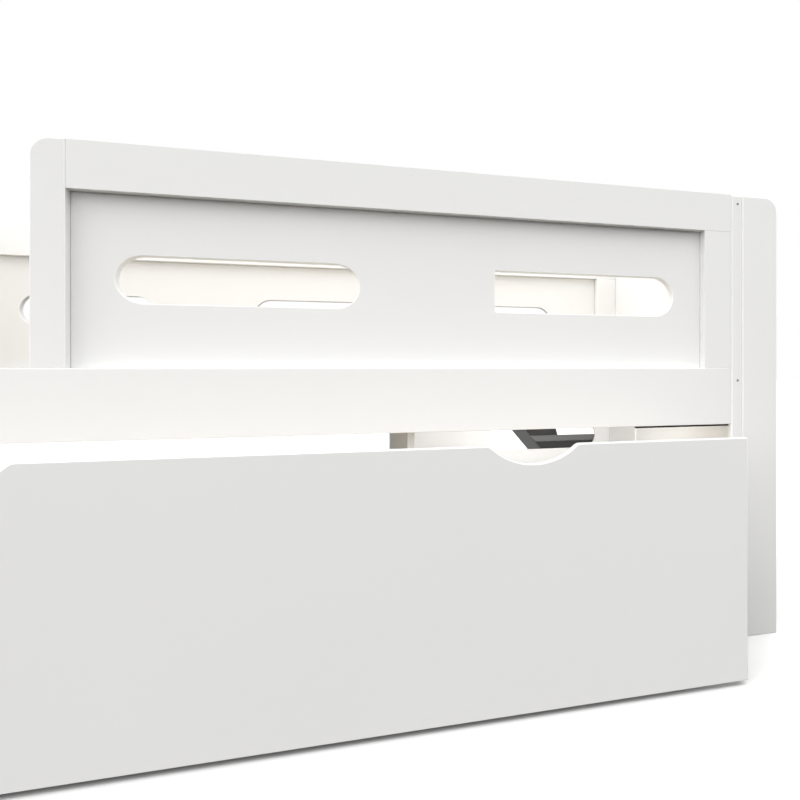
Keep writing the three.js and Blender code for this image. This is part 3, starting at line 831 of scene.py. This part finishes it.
def addDeck():
    slats = [f"slat_{i + 1:02d}" for i in range(10)]
    low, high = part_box(slats[0])
    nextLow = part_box(slats[1])[0]
    prototype = roundedCopy(slats[0], "slatPrototype", deck["edgeRadius"], 3, True)
    middle = (low + high) / 2
    prototype.data.transform(Matrix.Translation(-middle))
    piece = grow("deck_slats", rowTree, None, Piece=prototype, Count=len(slats), Start=tuple(middle),
                 Step=(nextLow.x - low.x, 0.0, 0.0), Seed=deck["seed"], Play=deck["play"], Material=barePine)
    bpy.data.objects.remove(prototype)
    putOn(piece, "bed_frame", "pine", barePine, *slats)
    for node in ("slat_ledger_front", "slat_ledger_rear"):
        addCopied(node, "bed_frame", "pine", barePine, 1.5 * mm, 2, True)
    places = []
    insetX, insetY = deck["screwInset"]
    for slat in slats:
        low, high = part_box(slat)
        for y in (low.y + insetY, high.y - insetY):
            for x in (low.x + insetX, high.x - insetX):
                places.append(((x, y, high.z), (0, 0, 1)))
    addFixings("slat_screws", places, screwShape, "bed_frame", "zinc", brightZinc)


addDeck()
print("deck ready")


bracket = {
    "sheet": 3 * mm,
    "railScrews": (0.12, 0.42, 0.72),   # shares of the bracket's length
    "postScrews": (26 * mm, 14 * mm),   # from its front and from its back
}


def addSteel():
    # the plates and the strut take the darker coats, painted shade
    for node, coat in (("corner_bracket_left", plateSteelPaintedShade), ("corner_bracket_right", plateSteelPaintedShade),
                       ("brace_plate", plateSteelPaintedShade), ("brace_bar", darkSteel), ("brace_strut", strutSteelPaintedShade)):
        radius = board["sheetRadius"] if coat is plateSteelPaintedShade else board["barRadius"]
        addCopied(node, "bed_frame", "dark_steel", coat, radius, 2, ending="_steel")
    places = []
    for name, side in (("left", -1), ("right", 1)):
        low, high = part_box(f"corner_bracket_{name}")
        z = (low.z + high.z) / 2
        sheet = bracket["sheet"]
        for share in bracket["railScrews"]:
            x = (low.x if side > 0 else high.x) + side * share * (high.x - low.x)
            places.append(((x, low.y + sheet, z), (0, 1, 0)))
        inner = high.x - sheet if side > 0 else low.x + sheet
        fromFront, fromBack = bracket["postScrews"]
        for y in (low.y + fromFront, high.y - fromBack):
            places.append(((inner, y, z), (-side, 0, 0)))
    addFixings("bracket_screws", places, screwShape, "bed_frame", "zinc", brightZinc)


railBolts = {
    "fromEdge": 26 * mm,
    "holeRadius": 8.2 * mm,
    "holeDepth": 3.5 * mm,
    "stripScrewTop": 17 * mm,
    "stripScrewShift": 1.9 * mm,  # towards the bed's end
    "stripScrewRail": 24 * mm,
    "stripScrewSize": 0.68,
    "panelScrews": 6,
    "panelScrewInset": 25 * mm,
    "panelScrewDrop": 20 * mm,
}


def sinkHoles(piece, places, radius, depth):
    # shallow round holes; each place is a point on the face and the way out of it
    bm = bmesh.new()
    for point, out in places:
        way = Vector(out)
        turn = way.to_track_quat("Z", "Y").to_matrix().to_4x4()
        middle = Matrix.Translation(Vector(point)) @ turn
        bmesh.ops.create_cone(bm, cap_ends=True, segments=40, radius1=radius, radius2=radius, depth=2 * depth,
                              matrix=middle)
    cutter = linkObject("cutter", meshOf(bm, "cutter"))
    cut = piece.modifiers.new("holes", "BOOLEAN")
    cut.operation = "DIFFERENCE"
    cut.solver = "EXACT"
    cut.object = cutter
    applyModifiers(piece)
    bpy.data.objects.remove(cutter)
    finishShading(piece)


def addFrameFixings():
    bolts, screws = [], []
    for name, side in (("left", -1), ("right", 1)):
        for row in ("front", "rear"):
            low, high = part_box(f"post_{row}_{name}")
            outer = high.x if side > 0 else low.x
            railLow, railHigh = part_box(f"side_rail_{row}")
            y = (railLow.y + railHigh.y) / 2
            heights = (railLow.z + railBolts["fromEdge"], railHigh.z - railBolts["fromEdge"])
            places = [((outer, y, z), (side, 0, 0)) for z in heights]
            sinkHoles(bpy.data.objects[f"post_{row}_{name}_board"], places, railBolts["holeRadius"],
                      railBolts["holeDepth"])
            bolts += [((x - side * railBolts["holeDepth"], y, z), out) for (x, y, z), out in places]
        stripLow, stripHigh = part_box(f"cover_strip_{name}")
        x = (stripLow.x + stripHigh.x) / 2 + side * railBolts["stripScrewShift"]
        for z in (stripHigh.z - railBolts["stripScrewTop"], railTop - railBolts["stripScrewRail"]):
            screws.append(((x, stripLow.y, z), (0, -1, 0)))
    addFixings("rail_bolts", bolts, boltShape, "bed_frame", "zinc", brightZinc)
    # the dark coat on the strip's screws is painted shade for the shadow in their holes
    addFixings("strip_screws", screws, screwShape, "bed_frame", "dark_steel", darkSteel,
               railBolts["stripScrewSize"])
    low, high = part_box("rear_panel")
    inset, count = railBolts["panelScrewInset"], railBolts["panelScrews"]
    spots = []
    for i in range(count):
        x = low.x + inset + (high.x - low.x - 2 * inset) * i / (count - 1)
        spots.append(((x, high.y, high.z - railBolts["panelScrewDrop"]), (0, 1, 0)))
    addFixings("rear_panel_screws", spots, screwShape, "bed_frame", "zinc", brightZinc)


addSteel()
addFrameFixings()
print("steel and fixings ready")


castor = {
    "treadRadius": 25 * mm,
    "treadInner": 19.5 * mm,
    "halfWidth": 10 * mm,
    "hubBore": 4.3 * mm,
    "hubBoss": 8.5 * mm,
    "webHalf": 2.6 * mm,
    "rimRound": 3 * mm,
    "ribs": 9,
    "sides": 72,
    "axleHead": 6.5 * mm,
    "axlePin": 4 * mm,
    "axleRise": 2 * mm,
    "axleSides": 40,
    "plate": 3 * mm,
    "screwInset": (5 * mm, 7 * mm),
}
corners = ("front_left", "front_right", "rear_left", "rear_right")


def turnedRing(name, profile, centre, sides):
    # a closed profile of (radius, place along the axle) turned about an axle along X
    bm = bmesh.new()
    rings = []
    for i in range(sides):
        t = math.tau * i / sides
        rings.append([bm.verts.new((centre.x + a, centre.y + r * math.cos(t), centre.z + r * math.sin(t)))
                      for r, a in profile])
    count = len(profile)
    for i in range(sides):
        here, there = rings[i], rings[(i + 1) % sides]
        for k in range(count):
            m = (k + 1) % count
            bm.faces.new((here[k], here[m], there[m], there[k]))
    bmesh.ops.remove_doubles(bm, verts=bm.verts, dist=0.002 * mm)
    bmesh.ops.recalc_face_normals(bm, faces=bm.faces)
    return finishShading(linkObject(name, meshOf(bm, name)), 38)


def treadProfile():
    r, inner = castor["treadRadius"], castor["treadInner"]
    half, edge = castor["halfWidth"], castor["rimRound"]
    right = arc(r - edge, half - edge, edge, 0, 90)
    left = [(x, -z) for x, z in reversed(right)]
    return [*left, *right, (inner, half - 0.6 * mm), (inner, -half + 0.6 * mm)]


def hubProfile():
    outer, half, boss = castor["treadInner"] - 0.1 * mm, castor["halfWidth"] - 1.2 * mm, castor["hubBoss"]
    web, bore, rim = castor["webHalf"], castor["hubBore"], 2.2 * mm
    side = [(bore, half + 0.6 * mm), (boss - 1 * mm, half + 0.6 * mm), (boss, half), (boss + 0.6 * mm, web),
            (outer - rim - 0.6 * mm, web), (outer - rim, half), (outer - 0.5 * mm, half),
            (outer, half - 0.5 * mm)]
    mirrored = [(r, -a) for r, a in reversed(side)]
    return [*side, *mirrored]


def ribPrototype():
    # one rib on each side of the web, from the boss to the rim
    bm = bmesh.new()
    web, half = castor["webHalf"] - 0.3 * mm, castor["halfWidth"] - 2 * mm
    inner, outer, thick = castor["hubBoss"] - 0.6 * mm, castor["treadInner"] - 2.1 * mm, 0.8 * mm
    for side in (-1, 1):
        made = [bm.verts.new((side * x, y, z))
                for z in (inner, outer) for x in (web, half) for y in (-thick, thick)]
        for quad in ((0, 1, 3, 2), (4, 6, 7, 5), (0, 4, 5, 1), (2, 3, 7, 6), (0, 2, 6, 4), (1, 5, 7, 3)):
            bm.faces.new([made[i] for i in quad])
    bmesh.ops.recalc_face_normals(bm, faces=bm.faces)
    edges = list(bm.edges)
    bmesh.ops.bevel(bm, geom=edges, offset=0.25 * mm, offset_type="OFFSET", segments=1, profile=0.5,
                    affect="EDGES", clamp_overlap=True)
    return linkObject("ribPrototype", meshOf(bm, "ribPrototype"))


def axleProfile(half):
    head, rod, rise = castor["axleHead"], castor["axlePin"], castor["axleRise"]
    side = [(rod, half - rise), (head, half - rise), (head, half - 0.9 * mm),
            (head - 0.6 * mm, half - 0.3 * mm), (head - 2 * mm, half), (0.01 * mm, half)]
    mirrored = [(r, -a) for r, a in reversed(side)]
    return [*side, *mirrored]


def addCastors():
    ribs = ribPrototype()
    for corner in corners:
        low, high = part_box(f"wheel_{corner}")
        centre, body = (low + high) / 2, f"wheel_{corner}"
        tread = turnedRing(f"wheel_{corner}_tread", treadProfile(), centre, castor["sides"])
        putOn(tread, body, "wheel_plastic", treadRubber, f"wheel_{corner}")
        hub = turnedRing(f"wheel_{corner}_hub", hubProfile(), centre, castor["sides"])
        putOn(hub, body, "wheel_plastic", hubPlastic)
        spokes = grow(f"wheel_{corner}_ribs", ringTree, None, Piece=ribs, Count=castor["ribs"],
                      Centre=tuple(centre), Material=hubPlastic)
        putOn(spokes, body, "wheel_plastic", hubPlastic)
        axleLow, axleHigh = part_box(f"castor_axle_{corner}")
        axle = turnedRing(f"castor_axle_{corner}_pin", axleProfile((axleHigh.x - axleLow.x) / 2), centre,
                          castor["axleSides"])
        putOn(axle, "trundle", "zinc", brightZinc, f"castor_axle_{corner}")
        addCopied(f"castor_bracket_{corner}", "trundle", "zinc", brightZinc, 0.5 * mm, 2, ending="_steel")
    bpy.data.objects.remove(ribs)
    places = []
    insetX, insetY = castor["screwInset"]
    for corner in corners:
        low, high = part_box(f"castor_bracket_{corner}")
        for x in (low.x + insetX, high.x - insetX):
            for y in (low.y + insetY, high.y - insetY):
                places.append(((x, y, high.z - castor["plate"]), (0, 0, -1)))
    addFixings("castor_screws", places, screwShape, "trundle", "zinc", brightZinc)


addCastors()
for thing in (screwShape, boltShape):
    bpy.data.objects.remove(thing)
print("castors ready")


shot = {
    "lens": 37.23,
    "sensor": 36.0,
    "shift": (-0.3551, -0.04),
    "distance": 1.4685,     # in front of the bed's front face
    "sideways": 0.106,
    "height": 0.5283,
    "turn": -21.58,
}


def addCamera():
    data = bpy.data.cameras.new("camera")
    data.lens = shot["lens"]
    data.sensor_width = shot["sensor"]
    data.shift_x, data.shift_y = shot["shift"]
    camera = linkObject("camera", data)
    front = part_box("side_rail_front")[0].y
    camera.location = (shot["sideways"], front - shot["distance"], shot["height"])
    camera.rotation_euler = (math.pi / 2, 0, math.radians(shot["turn"]))
    scene.camera = camera


studio = {
    "view": "Standard",
    "skyColour": (1, 0.998, 0.994, 1),
    # soft light from each side of the set
    "left": 2.00,
    "right": 1.10,
    "front": 1.10,
    "back": 0.40,
    "above": 0.90,
    "below": 0.05,
    # lamps under the deck, in watts
    "cornerLamp": 0.50,
    "sideLamp": 0.75,
    "cornerPlace": (0.5, 0.12, 0.36),    # the middle number counts from the front rail
    "cornerSize": (0.55, 0.08),
    "cornerSpread": 50,
    "cornerAim": 0.37,
    "sidePlace": (0.24, 0.34),
    "sideSize": (0.5, 0.08),
    "sideSpread": 120,
    "sideAim": (0.8, 0.36),
    "floorColour": (0.95, 0.95, 0.95, 1),
}


def addSky():
    world = bpy.data.worlds.new("studio")
    scene.world = world
    world.use_nodes = True
    tree = world.node_tree
    tree.nodes.clear()
    direction = addNode(tree, "ShaderNodeTexCoord").outputs["Generated"]
    parts = addNode(tree, "ShaderNodeSeparateXYZ", Vector=direction)
    aboveHorizon = mathNode(tree, "GREATER_THAN", parts.outputs["Z"], 0.0)
    level = 0.0
    for key, axis, sign in (("left", "X", -1), ("right", "X", 1), ("front", "Y", -1), ("back", "Y", 1)):
        lobe = mathNode(tree, "MULTIPLY", parts.outputs[axis], sign * studio[key])
        level = mathNode(tree, "ADD", mathNode(tree, "MAXIMUM", lobe, 0.0), level)
    level = mathNode(tree, "MULTIPLY", level, aboveHorizon)
    for key, sign in (("above", 1), ("below", -1)):
        lobe = mathNode(tree, "MULTIPLY", parts.outputs["Z"], sign * studio[key])
        level = mathNode(tree, "ADD", mathNode(tree, "MAXIMUM", lobe, 0.0), level)
    lightRay = addNode(tree, "ShaderNodeBackground", Color=studio["skyColour"], Strength=level)
    plain = addNode(tree, "ShaderNodeBackground", Color=(1, 1, 1, 1), Strength=1.0)
    mix = addNode(tree, "ShaderNodeMixShader")
    seen = addNode(tree, "ShaderNodeLightPath").outputs["Is Camera Ray"]
    join(tree, seen, mix.inputs[0])
    join(tree, lightRay.outputs[0], mix.inputs[1])
    join(tree, plain.outputs[0], mix.inputs[2])
    out = addNode(tree, "ShaderNodeOutputWorld")
    join(tree, mix.outputs[0], out.inputs["Surface"])


def addLamp(name, watts, place, target, size, spread):
    data = bpy.data.lights.new(name, "AREA")
    data.shape = "RECTANGLE"
    data.size, data.size_y = size
    data.energy = watts
    data.spread = math.radians(spread)
    lamp = linkObject(name, data)
    lamp.location = place
    lamp.rotation_euler = (Vector(target) - Vector(place)).to_track_quat("-Z", "Y").to_euler()
    lamp.visible_camera = False
    lamp.visible_glossy = False


def addLamps():
    frontY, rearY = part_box("side_rail_front")[0].y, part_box("side_rail_rear")[0].y
    middleY = (frontY + rearY) / 2
    x, back, z = studio["cornerPlace"]
    addLamp("cornerLamp", studio["cornerLamp"], (x, frontY + back, z), (x, rearY, studio["cornerAim"]),
            studio["cornerSize"], studio["cornerSpread"])
    x, z = studio["sidePlace"]
    aimX, aimZ = studio["sideAim"]
    addLamp("sideLamp", studio["sideLamp"], (x, middleY, z), (aimX, middleY, aimZ), studio["sideSize"],
            studio["sideSpread"])


def addFloor():
    bpy.ops.mesh.primitive_plane_add(size=60)
    floor = bpy.context.object
    floor.name = "studioFloor"
    floor.visible_diffuse = False
    floor.visible_glossy = False
    floor.visible_shadow = False
    material, _, shader = newMaterial("paleFloor", 0.6)
    shader.inputs["Base Color"].default_value = studio["floorColour"]
    floor.data.materials.append(material)


scene.view_settings.view_transform = studio["view"]
addCamera()
addSky()
addLamps()
addFloor()
print("studio ready")
